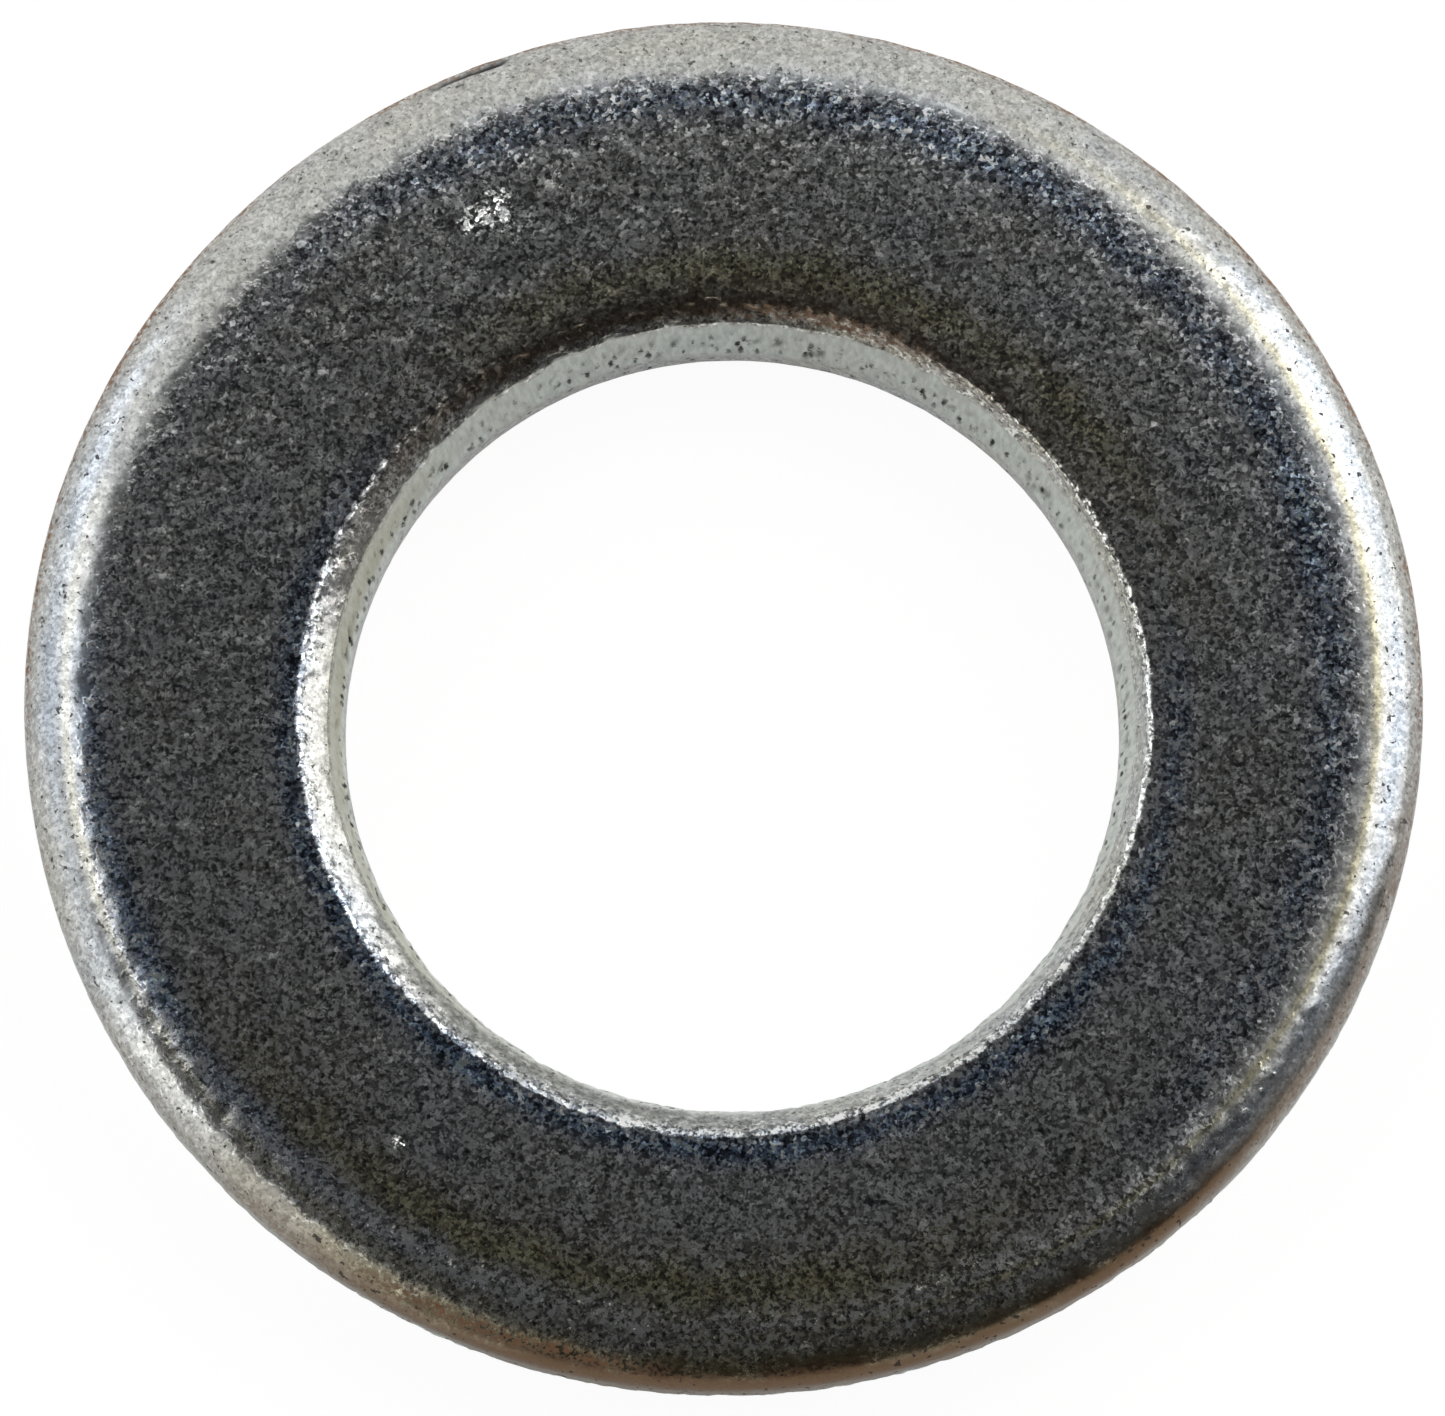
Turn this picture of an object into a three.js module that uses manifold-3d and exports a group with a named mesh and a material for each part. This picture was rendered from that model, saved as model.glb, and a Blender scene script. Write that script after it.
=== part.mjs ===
// Flat washer: one ring of sheet steel, punched by a blanking die and a piercing punch, then
// zinc plated. Millimetres, +Z up. The washer rests on its sharp-rimmed face at z = 0, with
// its rounded face up. The origin is the centre of the outline, on the resting face.

import * as THREE from 'three';
import { mergeVertices } from 'three/addons/utils/BufferGeometryUtils.js';
import Module from 'manifold-3d';

const wasm = await Module();
wasm.setup();

// Driving dimensions.
const outerDiameter = 23.9;
const boreDiameter = 13.25; // the narrow land that guides the bolt
const thickness = 2.5;

// The rim, from the upper face down: a die roll, a straight land, then a broken edge.
const rimRollWidth = 1.15; // rounding of the upper face's outer edge, measured inwards
const rimRollDepth = 0.85; // the same rounding, measured down the rim
const rimLandHeight = 0.45;
const rimDrawIn = 0.28; // how far the broken edge has drawn in at the resting face

// The bore, from the upper face down: a worn lip, a torn throat, the land and a rolled mouth.
const lipWidth = 0.45; // rounding of the bore's upper edge, measured outwards
const lipDepth = 0.42; // the same rounding, measured down the bore
const throatWiden = 0.24; // how much further out the throat starts than the land stands
const boreLandHeight = 0.6;
const mouthRollWidth = 0.35; // rounding of the bore's lower edge, measured outwards
const mouthRollDepth = 0.35; // the same rounding, measured up the bore
const boreShiftX = 0.15; // the piercing punch stands a little off the blank's centre
const boreShiftY = -0.35;

// Smoothness of the round surfaces.
const turnSegments = 96;
const rollSteps = 8;

// A cutter stands this far out of the faces it opens.
const cutterOverrun = 1;

const outerRadius = outerDiameter / 2;
const boreRadius = boreDiameter / 2;

// Points on a quarter ellipse about (centreRadius, centreHeight). The first is straight out
// along the radius and the last is straight up. A negative width turns the curve towards the
// axis, and a negative depth turns it downwards.
function quarterRoll(centreRadius, centreHeight, width, depth) {
    const points = [];
    for (let step = 0; step <= rollSteps; step++) {
        const turn = (step / rollSteps) * Math.PI / 2;
        const radius = centreRadius + width * Math.cos(turn);
        const height = centreHeight + depth * Math.sin(turn);
        points.push(new THREE.Vector2(radius, height));
    }
    return points;
}

// The profile is turned about Z. It runs from the axis at the bottom to the axis at the top.
function turnedSolid(profile) {
    const geometry = new THREE.LatheGeometry(profile, turnSegments);
    geometry.rotateX(Math.PI / 2);
    return geometry;
}

function toManifold(geometry) {
    const bare = geometry.clone();
    bare.deleteAttribute('normal');
    bare.deleteAttribute('uv');
    const merged = mergeVertices(bare, 1e-5);
    const vertProperties = new Float32Array(merged.attributes.position.array);
    const triVerts = new Uint32Array(merged.index.array);
    return new wasm.Manifold(new wasm.Mesh({ numProp: 3, vertProperties, triVerts }));
}

function toGeometry(manifold) {
    const mesh = manifold.getMesh();
    const geometry = new THREE.BufferGeometry();
    geometry.setAttribute('position', new THREE.BufferAttribute(mesh.vertProperties, 3));
    geometry.setIndex(new THREE.BufferAttribute(mesh.triVerts, 1));
    geometry.computeVertexNormals();
    return geometry;
}

// The blank: a full disc whose rim is rolled over above and draws in below.
function blankDisc() {
    const rollFoot = thickness - rimRollDepth;
    const profile = [
        new THREE.Vector2(0, 0),
        new THREE.Vector2(outerRadius - rimDrawIn, 0),
        new THREE.Vector2(outerRadius, rollFoot - rimLandHeight),
        ...quarterRoll(outerRadius - rimRollWidth, rollFoot, rimRollWidth, rimRollDepth),
        new THREE.Vector2(0, thickness),
    ];
    return turnedSolid(profile);
}

// The bore as a solid: rolled mouth, land, throat and lip, open at both faces.
function boreCutter() {
    const mouthRadius = boreRadius + mouthRollWidth;
    const lipRadius = boreRadius + throatWiden + lipWidth;
    const mouth = quarterRoll(mouthRadius, mouthRollDepth, -mouthRollWidth, -mouthRollDepth);
    const lip = quarterRoll(lipRadius, thickness - lipDepth, -lipWidth, lipDepth);
    const profile = [
        new THREE.Vector2(0, -cutterOverrun),
        new THREE.Vector2(mouthRadius, -cutterOverrun),
        ...mouth.reverse(),
        new THREE.Vector2(boreRadius, mouthRollDepth + boreLandHeight),
        ...lip,
        new THREE.Vector2(lipRadius, thickness + cutterOverrun),
        new THREE.Vector2(0, thickness + cutterOverrun),
    ];
    const cutter = turnedSolid(profile);
    cutter.translate(boreShiftX, boreShiftY, 0);
    return cutter;
}

function washerRing() {
    const ring = toManifold(blankDisc()).subtract(toManifold(boreCutter()));
    return toGeometry(ring);
}

// Zinc plate over steel: a dull blue-grey metal.
const zincPlate = new THREE.MeshStandardMaterial({
    color: 0x8d9193,
    roughness: 0.45,
    metalness: 0.9,
});

const washer = new THREE.Group();
const ringMesh = new THREE.Mesh(washerRing(), zincPlate);
ringMesh.name = 'washer_ring';
washer.add(ringMesh);

export default washer;
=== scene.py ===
# Flat washer, punched from steel sheet and zinc plated: the looks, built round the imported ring.
# Everything is in metres, +Z up, and the washer lies on the floor with its rounded face up.

import math
import bpy
import numpy as np
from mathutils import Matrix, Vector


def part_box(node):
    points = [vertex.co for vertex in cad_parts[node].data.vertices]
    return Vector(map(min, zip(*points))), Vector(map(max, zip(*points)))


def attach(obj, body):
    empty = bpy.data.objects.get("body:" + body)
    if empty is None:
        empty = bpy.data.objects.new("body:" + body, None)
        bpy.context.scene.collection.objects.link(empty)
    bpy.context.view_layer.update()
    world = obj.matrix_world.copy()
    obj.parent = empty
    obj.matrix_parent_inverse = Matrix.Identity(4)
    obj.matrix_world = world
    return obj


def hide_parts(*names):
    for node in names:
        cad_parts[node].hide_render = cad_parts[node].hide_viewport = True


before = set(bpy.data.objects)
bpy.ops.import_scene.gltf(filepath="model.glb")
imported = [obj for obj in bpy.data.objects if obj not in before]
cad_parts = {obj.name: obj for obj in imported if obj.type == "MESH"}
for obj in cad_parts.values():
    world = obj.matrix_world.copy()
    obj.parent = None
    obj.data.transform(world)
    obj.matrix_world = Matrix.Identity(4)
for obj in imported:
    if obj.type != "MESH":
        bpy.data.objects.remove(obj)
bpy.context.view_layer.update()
ringLow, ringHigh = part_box("washer_ring")
mm = 0.001
print("frame loaded:", sorted(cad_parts))


# ---- noise on points ----

# Each corner of a cube lattice gets a fixed random number from 0 to 1, by mixing its whole
# coordinates and the seed with multiplications, shifts and exclusive ors.
def latticeValue(corner, seed):
    x, y, z = (corner[..., axis].astype(np.uint64) for axis in range(3))
    mixed = x * np.uint64(73856093) ^ y * np.uint64(19349663) ^ z * np.uint64(83492791)
    mixed ^= np.uint64(seed * 2654435761 + 12345)
    for shift, factor in ((15, 2246822519), (13, 3266489917), (16, 668265263)):
        mixed = (mixed ^ (mixed >> np.uint64(shift))) * np.uint64(factor)
        mixed &= np.uint64(0xFFFFFFFF)
    return mixed.astype(float) / 0xFFFFFFFF


# Smooth noise from -1 to 1: a point takes its cube's eight corner values, blended with an
# s-shaped weight along each axis.
def cloudNoise(points, size, seed):
    cell = points / size + 1000.0  # keeps the lattice positive
    base = np.floor(cell)
    part = cell - base
    ease = part ** 3 * (part * (part * 6 - 15) + 10)
    total = np.zeros(points.shape[:-1])
    for index in range(8):
        step = np.array([index & 1, index >> 1 & 1, index >> 2 & 1])
        share = np.where(step, ease, 1 - ease).prod(axis=-1)
        total += share * latticeValue(base + step, seed)
    return total * 2 - 1


# Several sizes of smooth noise added up, each half the size and half the height of the last.
def layeredNoise(points, size, seed, layers=3):
    total = np.zeros(points.shape[:-1])
    for layer in range(layers):
        total += cloudNoise(points, size / 2 ** layer, seed + layer * 17) / 2 ** layer
    return total


# Distance to the nearest dent centre over the lattice size: every cube holds one centre at a
# random place, and the nearest of the 27 cubes around a point wins.
def dentDistance(points, size, seed):
    cell = points / size + 1000.0
    base = np.floor(cell)
    nearest = np.full(points.shape[:-1], 9.0)
    for index in range(27):
        step = np.array([index % 3 - 1, index // 3 % 3 - 1, index // 9 - 1])
        corner = base + step
        centre = np.stack([latticeValue(corner, seed + axis) for axis in range(3)], axis=-1)
        nearest = np.minimum(nearest, np.linalg.norm(corner + centre - cell, axis=-1))
    return nearest


# Rises from 0 at low to 1 at high: three times the share's square less twice its cube.
def smoothStep(value, low, high):
    share = np.clip((value - low) / (high - low), 0, 1)
    return share * share * (3 - 2 * share)


# ---- the ring ----

ring = {  # millimetres, the CAD section's own sizes
    "boreRadius": 6.625,
    "boreShift": (0.15, -0.35),
    "rimRoll": (1.15, 0.85),  # width in, depth down
    "rimLand": 0.45,
    "rimDrawIn": 0.28,
    "lip": (0.45, 0.42),
    "lipRound": 0.1,  # 0 for a straight bevel, 1 for a full quarter round
    "throatWiden": 0.24,
    "boreLand": 0.6,
    "mouthRoll": (0.35, 0.35),
    "turnSteps": 900,
    "rows": {  # rows of the grid along each stretch of the section
        "lip": 10,
        "face": 34,
        "roll": 24,
        "rimLand": 5,
        "rimBreak": 8,
        "base": 5,
        "mouth": 4,
        "boreLand": 4,
        "throat": 16,
    },
}

outerRadius = (ringHigh.x - ringLow.x) / 2 / mm
thickness = (ringHigh.z - ringLow.z) / mm


# One stretch of the section as rows of (radius, height, share of the bore's shift), without its
# end, which the next stretch starts on. A straight stretch is a straight line between its ends.
# A rolled one is a quarter ellipse, level at its flat end, blended with that line.
def straightRows(count, start, end):
    turn = np.arange(count)[:, None] / count
    return np.array(start) * (1 - turn) + np.array(end) * turn


def rolledRows(count, start, end, levelFirst, roundness=1.0):
    share = np.arange(count) / count
    turn = share * math.pi / 2
    along = np.sin(turn) if levelFirst else 1 - np.cos(turn)
    down = 1 - np.cos(turn) if levelFirst else np.sin(turn)
    along = along * roundness + share * (1 - roundness)
    down = down * roundness + share * (1 - roundness)
    (r0, h0, shift), (r1, h1, _) = start, end
    return np.stack([r0 + (r1 - r0) * along, h0 + (h1 - h0) * down, np.full(count, shift)], axis=1)


# The closed section, from the upper face out to the rim, down, back along the resting face, up
# the bore and over the lip.
def sectionRows():
    bore = ring["boreRadius"]
    rollWidth, rollDepth = ring["rimRoll"]
    lipWidth, lipDepth = ring["lip"]
    mouthWidth, mouthDepth = ring["mouthRoll"]
    throat = bore + ring["throatWiden"]
    rollFoot = thickness - rollDepth
    corners = {
        "face": (throat + lipWidth, thickness, 1),
        "roll": (outerRadius - rollWidth, thickness, 0),
        "rimLand": (outerRadius, rollFoot, 0),
        "rimBreak": (outerRadius, rollFoot - ring["rimLand"], 0),
        "base": (outerRadius - ring["rimDrawIn"], 0, 0),
        "mouth": (bore + mouthWidth, 0, 1),
        "boreLand": (bore, mouthDepth, 1),
        "throat": (bore, mouthDepth + ring["boreLand"], 1),
        "lip": (throat, thickness - lipDepth, 1),
    }
    names = list(corners)
    rows, labels = [], []
    for name, following in zip(names, names[1:] + names[:1]):
        count = ring["rows"][name]
        start, end = corners[name], corners[following]
        if name in ("roll", "mouth"):
            rows.append(rolledRows(count, start, end, levelFirst=True))
        elif name == "lip":
            rows.append(rolledRows(count, start, end, levelFirst=False, roundness=ring["lipRound"]))
        else:
            rows.append(straightRows(count, start, end))
        labels += [name] * count
    return np.concatenate(rows), np.array(labels)


# A point of the ring is its section row's radius along the turn's direction, plus the bore's
# shift times the row's share of it, at the row's height.
def ringGrid(rows):
    turn = np.arange(ring["turnSteps"]) / ring["turnSteps"] * 2 * math.pi
    radius, height, share = rows[:, :1], rows[:, 1:2], rows[:, 2:]
    x = radius * np.cos(turn) + share * ring["boreShift"][0]
    y = radius * np.sin(turn) + share * ring["boreShift"][1]
    return np.stack([x, y, np.broadcast_to(height, x.shape)], axis=-1)


# The outward direction at each grid point: the cross product of the steps to its neighbours
# along the section and round the turn.
def gridNormals(grid):
    alongSection = np.roll(grid, -1, axis=0) - np.roll(grid, 1, axis=0)
    roundTurn = np.roll(grid, -1, axis=1) - np.roll(grid, 1, axis=1)
    normal = np.cross(alongSection, roundTurn)
    return normal / np.linalg.norm(normal, axis=-1, keepdims=True)


# How much a grid point belongs to the named stretches, from 0 to 1: membership blurred with a
# bell over the border's rows, and read as many rows further on as the noise moves the border.
def zoneWeight(labels, names, border, edgeNoise):
    soften, wander = border
    member = np.isin(labels, names).astype(float)
    reach = 12  # rows on either side that the bell takes in
    bell = np.exp(-(np.arange(-reach, reach + 1) / soften) ** 2)
    wrapped = np.concatenate([member[-reach:], member, member[:reach]])
    smooth = np.convolve(wrapped, bell / bell.sum(), mode="valid")
    place = (np.arange(len(labels))[:, None] + wander * edgeNoise) % len(labels)
    low = np.floor(place).astype(int)
    part = place - low
    return smooth[low] * (1 - part) + smooth[(low + 1) % len(labels)] * part


wear = {  # millimetres; a height is added along the surface's own outward direction
    "crown": 0.034,  # the upper face falls this much from its middle to the roll or the bore
    "ripple": (0.6, 0.0035),  # size and height of the sheet's unevenness
    "peening": (0.34, 0.006),  # size and depth of the tumbling dents on the faces
    "dentSpan": 0.75,  # a dent's radius over its spacing
    "scallop": (0.30, 0.0065),  # the rolls' small waves
    "ragged": {"lip": (0.13, 0.034), "roll": (0.20, 0.045)},  # size and reach at either edge
    "strayRows": 5,  # how many rows to either side an edge's raggedness reaches
    "lipStray": [  # angle, half span and reach outwards of the lip's uneven width
        (10, 85, -0.11),
        (40, 34, -0.15),
        (-30, 50, -0.09),
        (185, 40, 0.07),
    ],
    "tears": (0.16, 0.50, 0.020),  # size round the turn, size along the bore, depth
    "pits": (0.22, 0.62, 0.035),
    "pitBand": (0.3, 0.35),  # the pits' middle above the throat's foot, and their half width
    "pitRim": (0.18, 0.45),  # distances over the spacing where a pit is full, and where it ends
    "pitCluster": (0.5, -0.3, 0.2),  # size, and noise levels where pits start and are full
    "pitShare": 0.6,  # how dark a torn pit is beside the nick
    "scores": (0.16, 4.0, 0.004),  # size round the turn, size along the bore, depth
    "noiseTop": 1.2,  # about the highest that layered noise gets
    "edgeWander": 0.45,  # size of the noise that moves every border
    "borders": {  # rows that a zone's border is blurred over, and rows that it wanders
        "faces": (1.2, 1.2),
        "torn": (0.7, 1.5),
        "rolls": (1.2, 0),
        "lands": (0.8, 1.5),
        "grain": (2.6, 0),
    },
    "nick": {  # a groove on the rim's upper edge, and the burr just above it
        "angle": 111.7,
        "halfSpan": 4.2,
        "height": 2.06,
        "width": 0.07,
        "depth": 0.06,
        "wander": 0.04,
        "endFade": 0.4,  # of the half span
        "endWander": (0.2, 0.3),  # of the groove's ends, and of the burr's
        "burrAbove": 0.10,
        "burrWidth": 0.05,
        "burrShare": 0.9,
    },
    "bruises": [  # angle, radius, reach and depth of single hard knocks on the upper face
        (115.6, 9.30, 0.15, 0.05),
        (114.1, 9.42, 0.13, 0.05),
        (116.9, 9.35, 0.10, 0.04),
        (114.6, 9.16, 0.10, 0.04),
        (118.3, 9.25, 0.08, 0.035),
        (-125.2, 9.55, 0.06, 0.03),
    ],
    "bruiseLean": 0.3,  # how much deeper a knock is at its +Y side
    "bruiseSpread": 1.3,  # the bruised surface's reach over the knock's
}


# The upper face is a shallow parabola in radius about its middle; its fall fades out down the
# roll and down the lip, in step with their height above their feet.
def crownFall(grid, radius, boreRadius):
    middle = (outerRadius - ring["rimRoll"][0] + ring["boreRadius"]) / 2
    halfWidth = (outerRadius - ring["rimRoll"][0] - ring["boreRadius"]) / 2
    rollDepth, lipDepth = ring["rimRoll"][1], ring["lip"][1]
    depth = np.where(radius > middle, rollDepth, lipDepth)
    share = np.clip((grid[..., 2] - thickness + depth) / depth, 0, 1)
    away = np.where(radius > middle, radius, boreRadius) - middle
    return wear["crown"] * (away / halfWidth) ** 2 * share


# Places for noise that runs along the bore: the way round the turn over one size, and the
# height over a longer one.
def drawnPlaces(grid, turn, radius, size, length):
    return np.stack([turn * radius / size, radius * 0, grid[..., 2] / length], axis=-1)


# Depth of the bruises' steep cups, and how bruised the surface is there. Each cup is a flat
# bell over its reach, a little deeper towards +Y.
def bruiseCups(grid):
    fall = np.zeros(grid.shape[:2])
    bruised = np.zeros(grid.shape[:2])
    upper = grid[..., 2] > thickness - 0.1
    lean = wear["bruiseLean"]
    for angle, place, reach, deep in wear["bruises"]:
        x = place * math.cos(math.radians(angle))
        y = place * math.sin(math.radians(angle))
        gap = np.hypot(grid[..., 0] - x, grid[..., 1] - y) / reach
        slope = 1 - lean + lean * (grid[..., 1] - y) / reach
        fall += deep * np.exp(-gap ** 4) * slope * upper
        bruised = np.maximum(bruised, np.exp(-(gap / wear["bruiseSpread"]) ** 4) * upper)
    return fall, bruised


# How close each row is to the edge between two stretches: a bell over the rows either side.
def nearEdge(labels, before, after):
    edge = np.flatnonzero((labels == before) & (np.roll(labels, -1) == after))[0] + 0.5
    half = len(labels) / 2
    apart = np.abs((np.arange(len(labels)) - edge + half) % len(labels) - half)
    return np.exp(-(apart / wear["strayRows"]) ** 2)[:, None]


# Each lobe: measured about the ring or the bore, angle and half span in degrees, radius and
# half width in mm, strength. A film below zero is blue, above zero straw.
stains = {
    "film": [
        ("ring", 45, 95, 10.40, 0.36, -0.70),
        ("ring", -145, 42, 10.80, 0.28, -0.85),
        ("ring", -100, 46, 10.35, 0.60, 0.90),
        ("bore", -100, 120, 7.60, 0.25, -0.95),
        ("bore", 75, 62, 7.75, 0.50, 0.85),
        ("ring", -15, 70, 11.14, 0.08, 0.80),
        ("ring", -150, 38, 11.22, 0.06, 0.50),
        ("ring", -10, 70, 11.50, 0.16, -0.35),
        ("ring", 175, 30, 11.50, 0.16, -0.30),
        ("ring", 90, 45, 11.50, 0.35, 0.16),
        ("ring", -90, 38, 11.65, 0.32, 1.00),
        ("bore", 185, 50, 6.75, 0.14, 0.80),
    ],
    "rust": [
        ("ring", -109, 12, 11.66, 0.11, 1.30),
        ("ring", -92, 14, 11.78, 0.10, 0.35),
        ("bore", 74, 16, 7.04, 0.10, 0.80),
    ],
    "tarnishAndShade": [
        # The lobe along the rim towards -Y is partly real brown tarnish and partly painted shade: it
        # darkens the rim's lower edge, where the plate mirrors the shadowed floor.
        ("ring", -88, 44, 12.00, 0.42, 1.15),
        ("ring", -33, 26, 11.80, 0.13, 0.65),
        ("bore", 96, 62, 7.14, 0.20, 0.80),
        ("bore", 96, 50, 7.45, 0.20, 0.30),
    ],
    "grain": [
        ("ring", -95, 50, 11.10, 0.50, 1.0),
        ("ring", -145, 30, 10.95, 0.22, 0.9),
        ("bore", 90, 70, 7.20, 0.30, 1.0),
        ("bore", -90, 110, 7.20, 0.12, 0.35),
    ],
    "lobeFoot": (1.0, 1.3),  # heights where the lobes start, and where they are full
    "lobeWander": 0.3,  # of a lobe's half width
    "filmCloud": (1.6, 0.15),  # size and strength of the film's own unevenness
    "rimLine": {  # rust along the rim's upper edge
        "height": 1.86,
        "halfWidth": 0.16,
        "depth": 0.3,  # how far in from the rim it reaches
        "strength": 1.90,
        "front": 0.2,  # its share towards -Y
        "patches": (1.1, -1.1, 0.5),  # size, and noise levels where it starts and is full
    },
}


# A thin line of rust follows the rim: a bell over height, strongest towards +Y and broken up
# by noise.
def rimLine(grid, radius):
    line = stains["rimLine"]
    bell = np.exp(-((grid[..., 2] - line["height"]) / line["halfWidth"]) ** 2)
    bell *= radius > outerRadius - line["depth"]
    back = smoothStep(grid[..., 1] / outerRadius, -0.5, 0.5)
    share = line["front"] + (1 - line["front"]) * back
    size, low, high = line["patches"]
    return line["strength"] * bell * share * smoothStep(layeredNoise(grid, size, 83), low, high)


# Every lobe is a bell across the radius times a flat-topped bell along the turn, only on the
# upper half of the ring.
def lobeSum(lobes, grid, turn, radius, boreRadius, edgeNoise):
    total = np.zeros(radius.shape)
    upper = smoothStep(grid[..., 2], *stains["lobeFoot"])
    for about, angle, halfSpan, place, width, strength in lobes:
        measured = boreRadius if about == "bore" else radius
        away = (np.degrees(turn) - angle + 180) % 360 - 180
        wander = stains["lobeWander"] * width * edgeNoise
        across = np.exp(-((measured - place + wander) / width) ** 2)
        along = np.exp(-(away / halfSpan) ** 4)
        total += strength * across * along * upper
    return total


# The plate's thin film: its lobes and a faint cloud of noise, from -1, blue, to 1, straw.
def filmMap(grid, turn, radius, boreRadius, edgeNoise):
    film = lobeSum(stains["film"], grid, turn, radius, boreRadius, edgeNoise)
    size, strength = stains["filmCloud"]
    return np.clip(film + strength * layeredNoise(grid, size, 71), -1, 1)


# The worn ring. The section's edges stray outwards by their own raggedness, each point moves
# along its outward direction by the sum of the heights, the crown is taken off, and what is
# past the rim or the two faces is brought back to them.
def shapeRing():
    rows, labels = sectionRows()
    grid = ringGrid(rows)
    size, reach = wear["ragged"]["lip"]
    atLip = nearEdge(labels, "lip", "face")
    stray = reach * atLip * layeredNoise(grid, size, 5, layers=2)
    around = np.degrees(np.arctan2(grid[..., 1], grid[..., 0]))
    for angle, halfSpan, outwards in wear["lipStray"]:
        away = (around - angle + 180) % 360 - 180
        stray += outwards * atLip * np.exp(-(away / halfSpan) ** 4)
    size, reach = wear["ragged"]["roll"]
    atRoll = nearEdge(labels, "face", "roll")
    stray += reach * atRoll * layeredNoise(grid, size, 7, layers=2)
    grid[..., :2] *= 1 + stray[..., None] / np.linalg.norm(grid[..., :2], axis=-1, keepdims=True)
    normal = gridNormals(grid)
    turn = np.arctan2(grid[..., 1], grid[..., 0])
    radius = np.hypot(grid[..., 0], grid[..., 1])
    shiftX, shiftY = ring["boreShift"]
    boreRadius = np.hypot(grid[..., 0] - shiftX, grid[..., 1] - shiftY)
    edgeNoise = layeredNoise(grid, wear["edgeWander"], 3, layers=2)
    borders = wear["borders"]
    faces = zoneWeight(labels, ["face", "base"], borders["faces"], edgeNoise)
    torn = zoneWeight(labels, ["throat", "rimBreak"], borders["torn"], edgeNoise)
    rolls = zoneWeight(labels, ["roll", "lip", "mouth"], borders["rolls"], edgeNoise)
    lands = zoneWeight(labels, ["rimLand", "boreLand"], borders["lands"], edgeNoise)

    # A noise less its own top is hardly ever above zero, so wear only takes material away.
    noiseTop = wear["noiseTop"]
    size, tall = wear["ripple"]
    height = tall * faces * (layeredNoise(grid, size, 11) - noiseTop)
    size, deep = wear["peening"]
    bowl = 1 - np.clip(dentDistance(grid, size, 23) / wear["dentSpan"], 0, 1) ** 2
    height -= deep * faces * bowl
    size, tall = wear["scallop"]
    height += tall * rolls * (layeredNoise(grid, size, 31, layers=2) - noiseTop)

    # Torn bands: long tears that run with the punch, and pits in their lower half.
    size, length, deep = wear["tears"]
    tears = layeredNoise(drawnPlaces(grid, turn, radius, size, length), 1.0, 41, layers=2)
    height += torn * deep * (tears - 1.0)
    size, length, deep = wear["pits"]
    above, halfWidth = wear["pitBand"]
    throatFoot = ring["mouthRoll"][1] + ring["boreLand"]
    lowBand = np.exp(-((grid[..., 2] - throatFoot - above) / halfWidth) ** 2)
    apart = dentDistance(drawnPlaces(grid, turn, radius, size, length), 1.0, 47)
    size, low, high = wear["pitCluster"]
    pits = 1 - smoothStep(apart, *wear["pitRim"])
    pits *= lowBand * smoothStep(cloudNoise(grid, size, 49), low, high)
    height -= torn * deep * pits
    size, length, deep = wear["scores"]
    scores = cloudNoise(drawnPlaces(grid, turn, radius, size, length), 1.0, 53)
    height += deep * lands * (scores - 1)

    # One knock on the rim's upper edge leaves a short groove, with a rough burr above it.
    nick = wear["nick"]
    onRim = radius > outerRadius - ring["rimRoll"][0]
    away = np.abs(np.degrees(turn) - nick["angle"]) / nick["halfSpan"]
    reach = np.abs(grid[..., 2] - nick["height"] + nick["wander"] * edgeNoise) / nick["width"]
    grooveEnds, burrEnds = nick["endWander"]
    groove = smoothStep(1 - away + grooveEnds * edgeNoise, 0, nick["endFade"])
    groove *= np.exp(-reach ** 4) * onRim
    height -= nick["depth"] * groove
    fall, bruised = bruiseCups(grid)
    burrHeight = nick["height"] + nick["burrAbove"]
    burr = np.exp(-((grid[..., 2] - burrHeight) / nick["burrWidth"]) ** 2) * onRim
    burr *= smoothStep(1 - away + burrEnds * edgeNoise, 0, nick["endFade"])
    bruised += nick["burrShare"] * burr

    worn = grid + normal * (height - fall)[..., None]
    worn[..., 2] -= crownFall(grid, radius, boreRadius)
    over = np.hypot(worn[..., 0], worn[..., 1]) / outerRadius
    worn[..., :2] /= np.maximum(over, 1)[..., None]
    worn[..., 2] = np.clip(worn[..., 2], 0, thickness)

    # The grain reaches over the faces' edges, and further down the rim and lip where it is dark.
    grainy = zoneWeight(labels, ["face", "base"], borders["grain"], edgeNoise)
    grainy = grainy + lobeSum(stains["grain"], grid, turn, radius, boreRadius, edgeNoise)
    grainy = np.clip(grainy * (1 - torn), 0, 1)

    # Tarnish lobes; the one on the rim towards -Y is partly painted shade.
    tarnishAndShade = lobeSum(stains["tarnishAndShade"], grid, turn, radius, boreRadius, edgeNoise)
    rust = lobeSum(stains["rust"], grid, turn, radius, boreRadius, edgeNoise)

    # What the plating's material reads at each point.
    marks = {
        "grainy": grainy,
        "torn": torn,
        "rolled": rolls + lands,
        # Pits and the nick's groove, painted near black: painted shade in their hollows.
        "pitShade": np.clip(wear["pitShare"] * torn * pits + groove, 0, 1),
        "pitBand": torn * lowBand,
        "bruised": bruised,
        "film": filmMap(grid, turn, radius, boreRadius, edgeNoise),
        "rust": rust + rimLine(grid, radius),
        "tarnishAndShade": np.clip(tarnishAndShade, 0, 1),
    }
    print("ring shaped:", grid.shape[:2], "grid")
    return worn, marks


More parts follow.
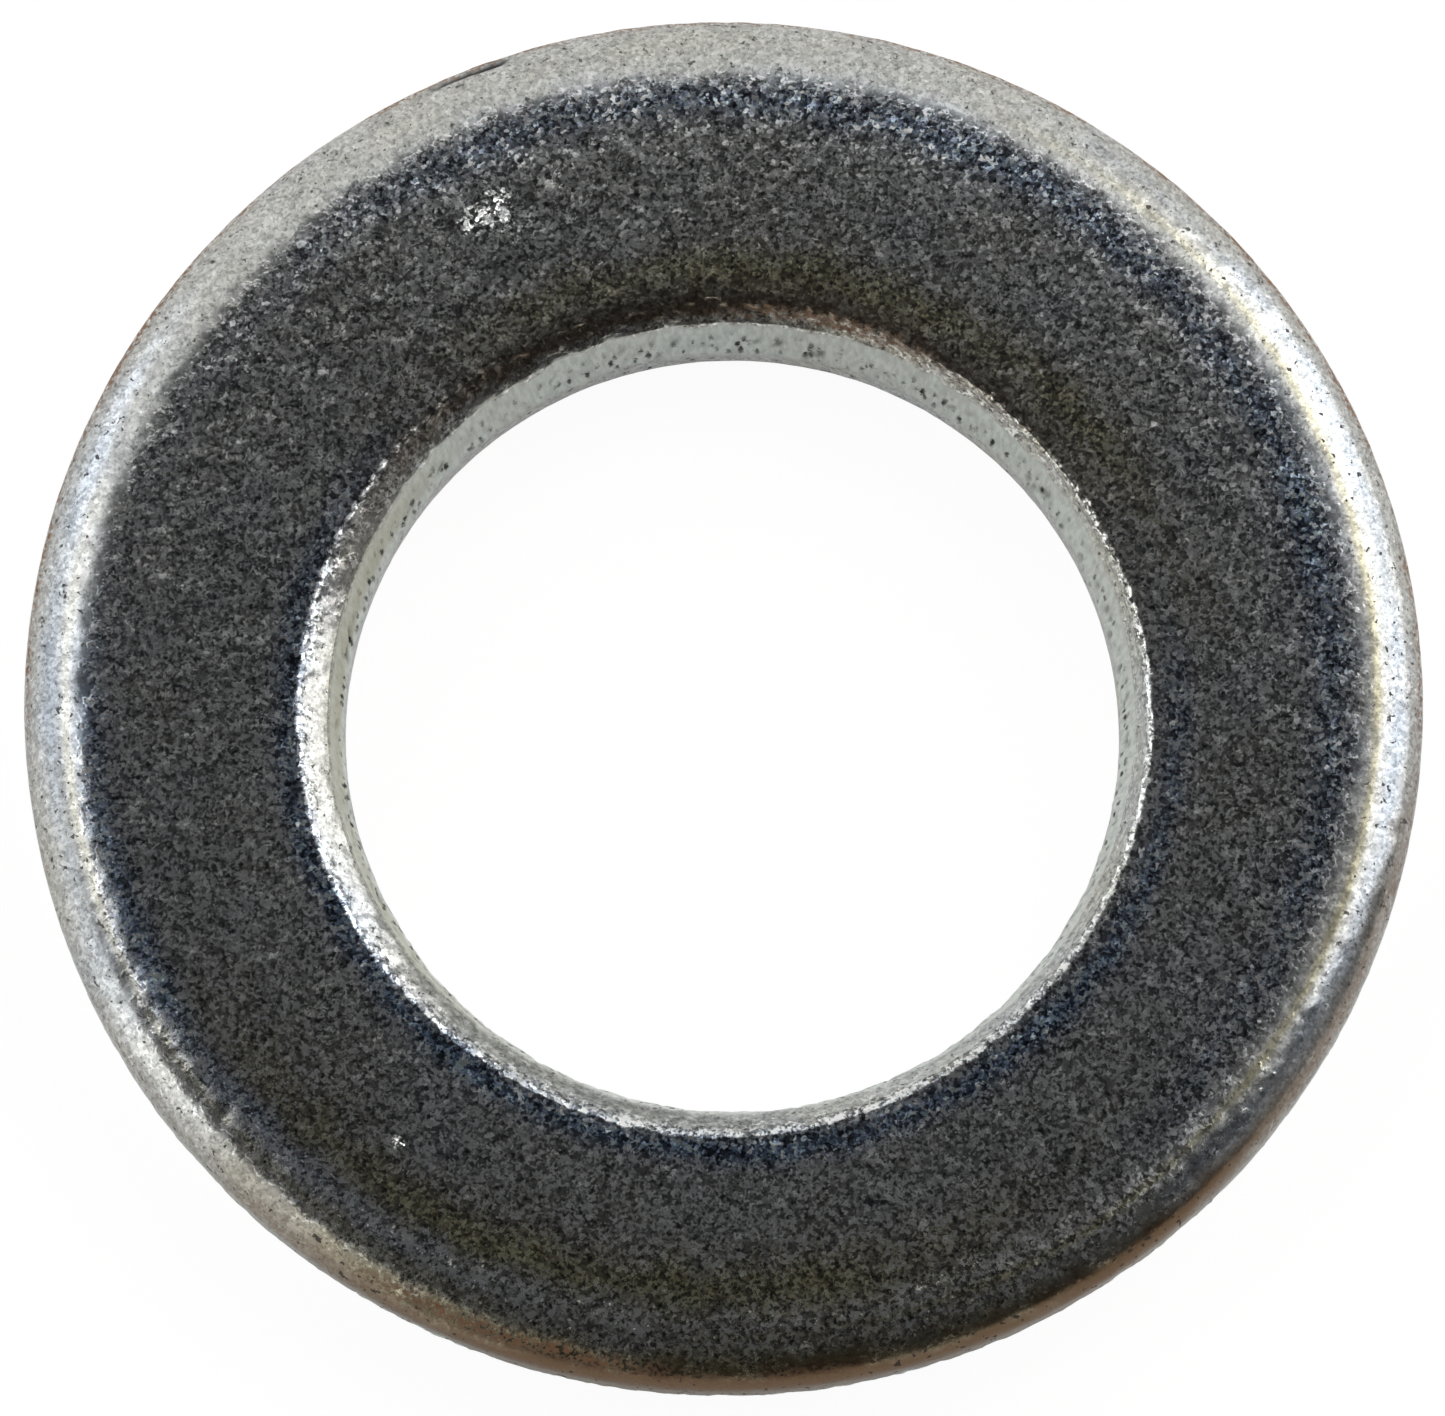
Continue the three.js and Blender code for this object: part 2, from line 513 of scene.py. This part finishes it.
# Puts the grid into a mesh: rows and turns both close on themselves, and each cell is one
# four-sided face.
def meshFromGrid(name, grid, marks):
    rowCount, turnCount = grid.shape[:2]
    index = np.arange(rowCount * turnCount).reshape(rowCount, turnCount)
    ahead = np.roll(index, -1, axis=0)
    quads = np.stack([index, ahead, np.roll(ahead, -1, axis=1), np.roll(index, -1, axis=1)], axis=-1)
    quads = quads.reshape(-1, 4)
    mesh = bpy.data.meshes.new(name)
    mesh.vertices.add(index.size)
    mesh.vertices.foreach_set("co", (grid * mm).astype(np.float32).ravel())
    mesh.loops.add(quads.size)
    mesh.loops.foreach_set("vertex_index", quads.astype(np.int32).ravel())
    mesh.polygons.add(len(quads))
    mesh.polygons.foreach_set("loop_start", np.arange(0, quads.size, 4, dtype=np.int32))
    mesh.polygons.foreach_set("use_smooth", np.ones(len(quads), bool))
    mesh.update(calc_edges=True)
    mesh.validate()
    for mark, value in marks.items():
        layer = mesh.attributes.new(mark, "FLOAT", "POINT")
        layer.data.foreach_set("value", np.broadcast_to(value, grid.shape[:2]).astype(np.float32).ravel())
    piece = bpy.data.objects.new(name, mesh)
    bpy.context.scene.collection.objects.link(piece)
    return piece


# ---- material nodes ----

def addNode(tree, kind, values=None, **settings):
    node = tree.nodes.new(kind)
    for name, value in settings.items():
        setattr(node, name, value)
    for name, value in (values or {}).items():
        node.inputs[name].default_value = value
    return node


def link(tree, source, target):
    tree.links.new(source, target)
    return target


def mathNode(tree, operation, first, second=0.0, clamp=False):
    node = addNode(tree, "ShaderNodeMath", operation=operation, use_clamp=clamp)
    for socket, value in zip(node.inputs, (first, second)):
        if isinstance(value, (int, float)):
            socket.default_value = value
        else:
            tree.links.new(value, socket)
    return node.outputs[0]


def mixColours(tree, share, first, second, blend="MIX"):
    node = addNode(tree, "ShaderNodeMix", data_type="RGBA", blend_type=blend)
    colourSockets = (node.inputs[0], node.inputs[6], node.inputs[7])
    for socket, value in zip(colourSockets, (share, first, second)):
        if isinstance(value, (int, float, tuple)):
            socket.default_value = value
        else:
            tree.links.new(value, socket)
    return node.outputs[2]


def remap(tree, value, low, high, toLow=0.0, toHigh=1.0):
    node = addNode(tree, "ShaderNodeMapRange", interpolation_type="SMOOTHSTEP")
    for name, number in (("From Min", low), ("From Max", high), ("To Min", toLow), ("To Max", toHigh)):
        node.inputs[name].default_value = number
    tree.links.new(value, node.inputs["Value"])
    return node.outputs["Result"]


crystal = {  # the grain group's own values
    "tightScale": 2.3,  # the tight noise over the wide one
    "cellScale": 1.7,  # the cells over the wide noise
    "speckBelow": (0.34, 0.43),  # grain values where a speck is full, and where it ends
    "glintAbove": (0.61, 0.70),  # grain values where a glint starts, and where it is full
}


# A group of crystal grain at one size: a wide and a tight noise, averaged, give the grain value,
# with dark specks where it is lowest and glints where it is highest. The wide noise is also the
# height for relief. Smaller cells, their borders warped by the tight noise, each have one random
# value and one random tilt.
def grainGroup():
    group = bpy.data.node_groups.new("platingGrain", "ShaderNodeTree")
    for name, kind, way in (
        ("Place", "NodeSocketVector", "INPUT"),
        ("Scale", "NodeSocketFloat", "INPUT"),
        ("Height", "NodeSocketFloat", "OUTPUT"),
        ("Grain", "NodeSocketFloat", "OUTPUT"),
        ("Speck", "NodeSocketFloat", "OUTPUT"),
        ("Glint", "NodeSocketFloat", "OUTPUT"),
        ("Hue", "NodeSocketColor", "OUTPUT"),
        ("Cell", "NodeSocketFloat", "OUTPUT"),
        ("Tilt", "NodeSocketVector", "OUTPUT"),
    ):
        group.interface.new_socket(name=name, in_out=way, socket_type=kind)
    start = addNode(group, "NodeGroupInput")
    end = addNode(group, "NodeGroupOutput")
    wide = addNode(group, "ShaderNodeTexNoise", {"Detail": 2.0, "Roughness": 0.65})
    tight = addNode(group, "ShaderNodeTexNoise", {"Detail": 1.0, "Roughness": 0.6})
    for node in (wide, tight):
        link(group, start.outputs["Place"], node.inputs["Vector"])
    link(group, start.outputs["Scale"], wide.inputs["Scale"])
    tightScale = mathNode(group, "MULTIPLY", start.outputs["Scale"], crystal["tightScale"])
    link(group, tightScale, tight.inputs["Scale"])
    halfWide = mathNode(group, "MULTIPLY", wide.outputs["Fac"], 0.5)
    halfTight = mathNode(group, "MULTIPLY", tight.outputs["Fac"], 0.5)
    grain = mathNode(group, "ADD", halfWide, halfTight)
    link(group, wide.outputs["Fac"], end.inputs["Height"])
    link(group, tight.outputs["Color"], end.inputs["Hue"])
    link(group, grain, end.inputs["Grain"])
    link(group, remap(group, grain, *crystal["speckBelow"], 1.0, 0.0), end.inputs["Speck"])
    link(group, remap(group, grain, *crystal["glintAbove"], 0.0, 1.0), end.inputs["Glint"])
    sized = addNode(group, "ShaderNodeVectorMath", operation="SCALE")
    link(group, start.outputs["Place"], sized.inputs[0])
    cellScale = mathNode(group, "MULTIPLY", start.outputs["Scale"], crystal["cellScale"])
    link(group, cellScale, sized.inputs["Scale"])
    warped = addNode(group, "ShaderNodeVectorMath", operation="ADD")
    link(group, sized.outputs[0], warped.inputs[0])
    link(group, tight.outputs["Color"], warped.inputs[1])
    cells = addNode(group, "ShaderNodeTexVoronoi", {"Scale": 1.0}, feature="F1")
    link(group, warped.outputs[0], cells.inputs["Vector"])
    parts = addNode(group, "ShaderNodeSeparateColor")
    link(group, cells.outputs["Color"], parts.inputs[0])
    link(group, parts.outputs[0], end.inputs["Cell"])
    tilt = addNode(group, "ShaderNodeVectorMath", operation="SUBTRACT")
    tilt.inputs[1].default_value = (0.5, 0.5, 0.5)
    link(group, cells.outputs["Color"], tilt.inputs[0])
    link(group, tilt.outputs[0], end.inputs["Tilt"])
    return group


# A group of soft patches, for stains and clumps: layered noise less a level, times a sharpness,
# plus a half.
def patchGroup():
    group = bpy.data.node_groups.new("softPatches", "ShaderNodeTree")
    for name, kind, way in (
        ("Place", "NodeSocketVector", "INPUT"),
        ("Scale", "NodeSocketFloat", "INPUT"),
        ("Level", "NodeSocketFloat", "INPUT"),
        ("Sharp", "NodeSocketFloat", "INPUT"),
        ("Patch", "NodeSocketFloat", "OUTPUT"),
    ):
        group.interface.new_socket(name=name, in_out=way, socket_type=kind)
    start = addNode(group, "NodeGroupInput")
    end = addNode(group, "NodeGroupOutput")
    noise = addNode(group, "ShaderNodeTexNoise", {"Detail": 2.0, "Roughness": 0.6})
    link(group, start.outputs["Place"], noise.inputs["Vector"])
    link(group, start.outputs["Scale"], noise.inputs["Scale"])
    above = mathNode(group, "SUBTRACT", noise.outputs["Fac"], start.outputs["Level"])
    sharp = mathNode(group, "MULTIPLY", above, start.outputs["Sharp"])
    link(group, mathNode(group, "ADD", sharp, 0.5, clamp=True), end.inputs["Patch"])
    return group


plating = {
    "zinc": (0.575, 0.58, 0.562, 1),
    "blueFilm": (0.28, 0.38, 0.56, 1),
    "strawFilm": (0.46, 0.42, 0.26, 1),
    "speckColour": (0.05, 0.055, 0.07, 1),
    "tornColour": (0.80, 0.84, 0.80, 1),
    # Near black, the painted shade of the pits and the nick's groove.
    "pitShadeColour": (0.025, 0.025, 0.025, 1),
    "rustColour": (0.25, 0.125, 0.06, 1),
    # Brown tarnish, also used as painted shade on the rim towards -Y.
    "tarnishAndShadeColour": (0.19, 0.125, 0.075, 1),
    "fineGrain": 0.12,  # mm
    "coarseGrain": 0.30,
    "fineLevels": (0.37, 0.53),  # grain values that are fully dark, and fully light
    "coarseLevels": (0.41, 0.55),
    "fineContrast": (0.42, 1.40),  # how dark and how light the grain makes the plate
    "cellContrast": (0.40, 1.60),
    "coarseContrast": (0.74, 1.20),
    "edgeContrast": 0.45,  # how much more it does so under a blue film
    "grainEdge": (0.28, 0.52, 2.4),  # where the grain ends, and how raggedly
    "rollGrain": 0.34,  # how much of the grain the rolls show
    "cellTilt": (0.07, 0.85),  # of the grain, and of a bruise's facets
    "hueSpread": 0.22,
    "speckLevels": (0.44, 0.56),  # coarse grain values that count as dark, and as light
    "speckAmount": (0.85, 0.2),  # how strongly specks show on the dark, and on the light
    "tornStraw": 0.7,  # how much of a straw film torn steel takes
    "tornStreaks": (0.86, 1.07),  # how dark and how light its streaks are
    "streakLevels": (0.35, 0.65),
    "glintRoughness": 0.06,
    "rustRoughness": 0.35,
    "pitRoughness": 0.7,
    "fineRelief": 0.0012,  # mm
    "coarseRelief": 0.0030,
    "bruiseRelief": (0.012, 0.030),
    "streakScale": (11000, 11000, 1800),  # torn steel's streaks, thin round the bore
    "wallPit": (0.15, 0.55, 0.02),  # mm: spacing round the bore, along it, and depth
    "wallPitWarp": 0.55,
    "wallPitRim": (0.20, 0.42),  # distances over the spacing where one is full, and ends
    "wallPitClumps": (0.5, 0.44, 8.0),  # size in mm, noise level and sharpness
    "rustClumps": (0.09, 0.50, 5.0),
    # The rolls' pits have no depth: they are dark dots of painted shade.
    "rollPit": (0.15, 0.33, -30.0, 0.75),  # size, noise level, sharpness and darkness
    "faceRoughness": 0.18,
    "rollRoughness": 0.23,
    "tornRoughness": 0.38,
    "tornDull": 0.45,  # how far torn steel loses its metal mirror
}


# Zinc plate. The grain's shading, specks and hue lie over the film's colours; tarnish, partly painted
# shade on the rim towards -Y, torn steel, the pits' painted shade and rust replace them where their marks
# are.
def zincMaterial():
    material = bpy.data.materials.new("zincPlate")
    material.use_nodes = True
    tree = material.node_tree
    shader = tree.nodes["Principled BSDF"]
    place = addNode(tree, "ShaderNodeTexCoord").outputs["Object"]
    mark = {}
    names = ("grainy", "torn", "rolled", "pitShade", "pitBand", "bruised", "film", "rust", "tarnishAndShade")
    for name in names:
        mark[name] = addNode(tree, "ShaderNodeAttribute", attribute_name=name).outputs["Fac"]
    grain, patches = grainGroup(), patchGroup()

    def patchNode(size, level, sharp):
        node = addNode(tree, "ShaderNodeGroup", node_tree=patches)
        node.inputs["Scale"].default_value = 1 / (size * mm)
        node.inputs["Level"].default_value = level
        node.inputs["Sharp"].default_value = sharp
        link(tree, place, node.inputs["Place"])
        return node.outputs["Patch"]

    def grainNode(size):
        node = addNode(tree, "ShaderNodeGroup", node_tree=grain)
        node.inputs["Scale"].default_value = 1 / (size * mm)
        link(tree, place, node.inputs["Place"])
        return node.outputs

    # A value's brightness factor, from dark to light between its levels, in the given amount.
    def shade(value, levels, contrast, amount):
        spread = remap(tree, value, *levels, *contrast)
        spread = mathNode(tree, "MULTIPLY", mathNode(tree, "SUBTRACT", spread, 1.0), amount)
        return mathNode(tree, "MAXIMUM", mathNode(tree, "ADD", spread, 1.0), 0.1)

    blue = mathNode(tree, "MULTIPLY", mark["film"], -1.0, clamp=True)
    straw = mathNode(tree, "MULTIPLY", mark["film"], 1.0, clamp=True)
    fine, coarse = grainNode(plating["fineGrain"]), grainNode(plating["coarseGrain"])
    low, high, ragged = plating["grainEdge"]
    stray = mathNode(tree, "MULTIPLY", mathNode(tree, "SUBTRACT", coarse["Grain"], 0.5), ragged)
    stray = mathNode(tree, "ADD", mark["grainy"], stray)
    amount = remap(tree, stray, low, high, plating["rollGrain"], 1.0)
    edge = mathNode(tree, "MULTIPLY", blue, plating["edgeContrast"])
    amount = mathNode(tree, "MULTIPLY", amount, mathNode(tree, "ADD", edge, 1.0))

    # Colour: plate with its thin films, shaded by the grain, then specks and torn steel.
    colour = mixColours(tree, blue, plating["zinc"], plating["blueFilm"])
    colour = mixColours(tree, straw, colour, plating["strawFilm"])
    shading = shade(fine["Grain"], plating["fineLevels"], plating["fineContrast"], amount)
    wide = shade(coarse["Grain"], plating["coarseLevels"], plating["coarseContrast"], amount)
    cell = shade(fine["Cell"], (0.0, 1.0), plating["cellContrast"], amount)
    shading = mathNode(tree, "MULTIPLY", mathNode(tree, "MULTIPLY", shading, wide), cell)
    shaded = addNode(tree, "ShaderNodeVectorMath", operation="SCALE")
    link(tree, colour, shaded.inputs[0])
    link(tree, shading, shaded.inputs["Scale"])
    hue = mathNode(tree, "MULTIPLY", amount, plating["hueSpread"])
    colour = mixColours(tree, hue, shaded.outputs[0], fine["Hue"], blend="OVERLAY")
    crowded = remap(tree, coarse["Grain"], *plating["speckLevels"], *plating["speckAmount"])
    specks = mathNode(tree, "MULTIPLY", mathNode(tree, "MULTIPLY", fine["Speck"], amount), crowded)
    colour = mixColours(tree, specks, colour, plating["speckColour"])
    # Tarnish colour, partly painted shade on the rim towards -Y.
    colour = mixColours(tree, mark["tarnishAndShade"], colour, plating["tarnishAndShadeColour"])
    streaks = addNode(tree, "ShaderNodeTexNoise", {"Scale": 1.0, "Detail": 2.0})
    drawn = addNode(tree, "ShaderNodeMapping")
    drawn.inputs["Scale"].default_value = plating["streakScale"]
    link(tree, place, drawn.inputs["Vector"])
    link(tree, drawn.outputs[0], streaks.inputs["Vector"])
    levels = plating["streakLevels"]
    tornShade = remap(tree, streaks.outputs["Fac"], *levels, *plating["tornStreaks"])
    torn = mixColours(tree, 1.0, plating["tornColour"], tornShade, blend="MULTIPLY")
    tornStraw = mathNode(tree, "MULTIPLY", straw, plating["tornStraw"])
    torn = mixColours(tree, tornStraw, torn, plating["strawFilm"])
    colour = mixColours(tree, mark["torn"], colour, torn)

    # Small deep pits in the torn bore, longer along the bore than round it.
    spacing, length, deep = plating["wallPit"]
    stretch = addNode(tree, "ShaderNodeMapping")
    stretch.inputs["Scale"].default_value = (1 / (spacing * mm), 1 / (spacing * mm), 1 / (length * mm))
    link(tree, place, stretch.inputs["Vector"])
    cells = addNode(tree, "ShaderNodeTexVoronoi", {"Scale": 1.0}, feature="F1")
    warp = addNode(tree, "ShaderNodeVectorMath", {"Scale": plating["wallPitWarp"]}, operation="SCALE")
    link(tree, fine["Hue"], warp.inputs[0])
    warped = addNode(tree, "ShaderNodeVectorMath", operation="ADD")
    link(tree, stretch.outputs[0], warped.inputs[0])
    link(tree, warp.outputs[0], warped.inputs[1])
    link(tree, warped.outputs[0], cells.inputs["Vector"])
    wallPits = remap(tree, cells.outputs["Distance"], *plating["wallPitRim"], 1.0, 0.0)
    wallPits = mathNode(tree, "MULTIPLY", wallPits, patchNode(*plating["wallPitClumps"]))
    wallPits = mathNode(tree, "MULTIPLY", wallPits, mark["pitBand"])
    size, level, sharp, dark = plating["rollPit"]
    rollPits = mathNode(tree, "MULTIPLY", patchNode(size, level, sharp), mark["rolled"])
    pits = mathNode(tree, "MAXIMUM", wallPits, mark["pitShade"])
    pits = mathNode(tree, "MAXIMUM", pits, mathNode(tree, "MULTIPLY", rollPits, dark))
    # Pits, the nick's groove and the rolls' dots are painted near black: painted shade in their hollows.
    colour = mixColours(tree, pits, colour, plating["pitShadeColour"])

    # Rust sits in broken patches, and not inside the nick or the pits.
    rustClumps = patchNode(*plating["rustClumps"])
    rustBreak = mathNode(tree, "MULTIPLY", mark["rust"], rustClumps, clamp=True)
    sound = mathNode(tree, "SUBTRACT", 1.0, mark["pitShade"])
    rustBreak = mathNode(tree, "MULTIPLY", rustBreak, sound)
    colour = mixColours(tree, rustBreak, colour, plating["rustColour"])
    link(tree, colour, shader.inputs["Base Color"])

    # Rust and pits are matt, and torn steel is nearly half way there.
    dull = mathNode(tree, "MULTIPLY", mark["torn"], plating["tornDull"])
    dull = mathNode(tree, "MAXIMUM", dull, mathNode(tree, "MAXIMUM", rustBreak, pits))
    link(tree, mathNode(tree, "SUBTRACT", 1.0, dull), shader.inputs["Metallic"])

    # Roughness: each zone has its own, and glints, rust and pits spread the light more.
    rough = remap(tree, mark["rolled"], 0.0, 1.0, plating["faceRoughness"], plating["rollRoughness"])
    extra = mathNode(tree, "MULTIPLY", mark["torn"], plating["tornRoughness"] - plating["faceRoughness"])
    rough = mathNode(tree, "ADD", rough, extra)
    glint = mathNode(tree, "MULTIPLY", fine["Glint"], amount)
    rough = mathNode(tree, "ADD", rough, mathNode(tree, "MULTIPLY", glint, plating["glintRoughness"]))
    rusty = mathNode(tree, "MULTIPLY", rustBreak, plating["rustRoughness"])
    rough = mathNode(tree, "ADD", rough, rusty)
    pitRough = mathNode(tree, "MULTIPLY", pits, plating["pitRoughness"])
    rough = mathNode(tree, "ADD", rough, pitRough, clamp=True)
    link(tree, rough, shader.inputs["Roughness"])

    # Relief in millimetres: fine and coarse grain, weaker on the rolls and rough in the bruises,
    # less the wall's pits.
    relief = mathNode(tree, "MULTIPLY", fine["Height"], plating["fineRelief"])
    wide = mathNode(tree, "MULTIPLY", coarse["Height"], plating["coarseRelief"])
    relief = mathNode(tree, "MULTIPLY", mathNode(tree, "ADD", relief, wide), amount)
    for grainHeight, tall in zip((fine["Height"], coarse["Height"]), plating["bruiseRelief"]):
        broken = mathNode(tree, "MULTIPLY", mathNode(tree, "MULTIPLY", mark["bruised"], tall), grainHeight)
        relief = mathNode(tree, "ADD", relief, broken)
    relief = mathNode(tree, "SUBTRACT", relief, mathNode(tree, "MULTIPLY", wallPits, deep))
    bump = addNode(tree, "ShaderNodeBump", {"Strength": 1.0, "Distance": mm})
    link(tree, relief, bump.inputs["Height"])

    # Each crystal's facet leans its own way, a little on the grain and a lot in the bruises.
    grainTilt, bruiseTilt = plating["cellTilt"]
    leaning = mathNode(tree, "MULTIPLY", amount, grainTilt)
    leaning = mathNode(tree, "ADD", leaning, mathNode(tree, "MULTIPLY", mark["bruised"], bruiseTilt))
    facet = addNode(tree, "ShaderNodeVectorMath", operation="SCALE")
    link(tree, fine["Tilt"], facet.inputs[0])
    link(tree, leaning, facet.inputs["Scale"])
    normal = addNode(tree, "ShaderNodeVectorMath", operation="ADD")
    link(tree, bump.outputs["Normal"], normal.inputs[0])
    link(tree, facet.outputs[0], normal.inputs[1])
    unit = addNode(tree, "ShaderNodeVectorMath", operation="NORMALIZE")
    link(tree, normal.outputs[0], unit.inputs[0])
    link(tree, unit.outputs[0], shader.inputs["Normal"])
    return material


grid, marks = shapeRing()
platedRing = meshFromGrid("plated_ring", grid, marks)
platedRing.data.materials.append(zincMaterial())
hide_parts("washer_ring")
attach(platedRing, "root")
print("ring built:", len(platedRing.data.polygons), "faces")


# ---- floor, light and camera ----

studio = {
    "floorSize": 6.0,
    "floorColour": (0.88, 0.88, 0.87, 1),
    "floorRoughness": 0.8,
    "floorSpecular": 0.2,
    "floorWhite": 1.06,  # how bright the camera sees the lit floor
    "floorEven": 0.86,  # how much of its shading that evens out
    "floorGlow": 0.18,
    "roomColour": (0.046, 0.047, 0.049),
    "backdropColour": (0.95, 0.95, 0.95),
    "lamps": [  # name, azimuth from +X, elevation, distance, width, height, radiance, colour
        ("rightBox", 22, 31, 0.60, 0.54, 0.62, 1.22, (1.0, 0.99, 0.97)),
        ("leftBox", 165, 55, 0.60, 0.25, 0.22, 1.15, (0.98, 0.99, 1.0)),
        ("backSheet", 93, 34.5, 0.70, 1.75, 0.96, 0.54, (1.0, 1.0, 0.985)),
        ("leftSheet", 172, 21, 0.62, 0.78, 0.46, 0.64, (0.99, 1.0, 1.0)),
        ("lowStrip", 218, 19, 0.60, 0.42, 0.48, 0.57, (1.0, 1.0, 0.98)),
        ("rightStrip", 336, 16, 0.60, 0.30, 0.34, 0.13, (1.0, 0.99, 0.97)),
        ("highRight", 22, 67, 0.60, 0.50, 0.14, 0.24, (1.0, 1.0, 1.0)),
    ],
}


# The floor is a matt white board. Seen directly it is lifted towards white, as a lit table is,
# and the washer's plate mirrors the board's own shading.
def makeFloor():
    half = studio["floorSize"] / 2
    corners = [(-half, -half, 0), (half, -half, 0), (half, half, 0), (-half, half, 0)]
    mesh = bpy.data.meshes.new("floor")
    mesh.from_pydata(corners, [], [(0, 1, 2, 3)])
    floor = bpy.data.objects.new("floor", mesh)
    bpy.context.scene.collection.objects.link(floor)
    material = bpy.data.materials.new("paleFloor")
    material.use_nodes = True
    tree = material.node_tree
    board = tree.nodes["Principled BSDF"]
    board.inputs["Base Color"].default_value = studio["floorColour"]
    board.inputs["Roughness"].default_value = studio["floorRoughness"]
    board.inputs["Specular IOR Level"].default_value = studio["floorSpecular"]
    board.inputs["Emission Color"].default_value = (1, 1, 1, 1)
    board.inputs["Emission Strength"].default_value = studio["floorGlow"]
    lit = addNode(tree, "ShaderNodeEmission", {"Strength": studio["floorWhite"]})
    ray = addNode(tree, "ShaderNodeLightPath")
    share = mathNode(tree, "MULTIPLY", ray.outputs["Is Camera Ray"], studio["floorEven"])
    mix = addNode(tree, "ShaderNodeMixShader")
    link(tree, share, mix.inputs[0])
    link(tree, board.outputs[0], mix.inputs[1])
    link(tree, lit.outputs[0], mix.inputs[2])
    link(tree, mix.outputs[0], tree.nodes["Material Output"].inputs["Surface"])
    mesh.materials.append(material)


# A lamp stands at its distance in its direction and faces the washer. Its power is four times
# its radiance times its area.
def makeLamp(name, azimuth, elevation, distance, width, height, radiance, colour):
    data = bpy.data.lights.new(name, "AREA")
    data.shape = "RECTANGLE"
    data.size, data.size_y = width, height
    data.energy = 4 * radiance * width * height
    data.color = colour
    lamp = bpy.data.objects.new(name, data)
    bpy.context.scene.collection.objects.link(lamp)
    a, e = math.radians(azimuth), math.radians(elevation)
    away = np.array([math.cos(a) * math.cos(e), math.sin(a) * math.cos(e), math.sin(e)])
    lamp.location = away * distance
    lamp.rotation_mode = "XYZ"
    lamp.rotation_euler = (math.pi / 2 - e, 0, a + math.pi / 2)
    lamp.visible_camera = False


# The room is dark all round, and only the camera sees it as a pale backdrop past the floor.
def makeRoom():
    world = bpy.data.worlds.new("studioRoom")
    world.use_nodes = True
    tree = world.node_tree
    tree.nodes.clear()
    ray = addNode(tree, "ShaderNodeLightPath")
    room = addNode(tree, "ShaderNodeBackground", {"Color": (*studio["roomColour"], 1)})
    backdrop = addNode(tree, "ShaderNodeBackground", {"Color": (*studio["backdropColour"], 1)})
    mix = addNode(tree, "ShaderNodeMixShader")
    link(tree, ray.outputs["Is Camera Ray"], mix.inputs[0])
    link(tree, room.outputs[0], mix.inputs[1])
    link(tree, backdrop.outputs[0], mix.inputs[2])
    end = addNode(tree, "ShaderNodeOutputWorld")
    link(tree, mix.outputs[0], end.inputs["Surface"])
    bpy.context.scene.world = world


camera = {
    "lean": 11.8,  # degrees from straight down, towards -Y
    "distance": 0.299,
    "lens": 437.4,
    "sensor": 36,
    "clip": (0.01, 20),
    "aim": (-0.019, -0.283),  # mm from the upper face's centre
}


# The camera stands at its distance from the aim, leaning from straight down towards -Y.
def makeCamera():
    data = bpy.data.cameras.new("camera")
    data.sensor_width = camera["sensor"]
    data.lens = camera["lens"]
    data.clip_start, data.clip_end = camera["clip"]
    eye = bpy.data.objects.new("camera", data)
    bpy.context.scene.collection.objects.link(eye)
    lean = math.radians(camera["lean"])
    centre = np.array([0, 0, thickness * mm]) + np.array([*camera["aim"], 0]) * mm
    eye.location = centre + np.array([0, -math.sin(lean), math.cos(lean)]) * camera["distance"]
    eye.rotation_euler = (lean, 0, 0)
    bpy.context.scene.camera = eye


makeFloor()
for lamp in studio["lamps"]:
    makeLamp(*lamp)
makeRoom()
makeCamera()
bpy.context.scene.view_settings.view_transform = "Standard"
print("studio ready:", len(studio["lamps"]), "lamps")
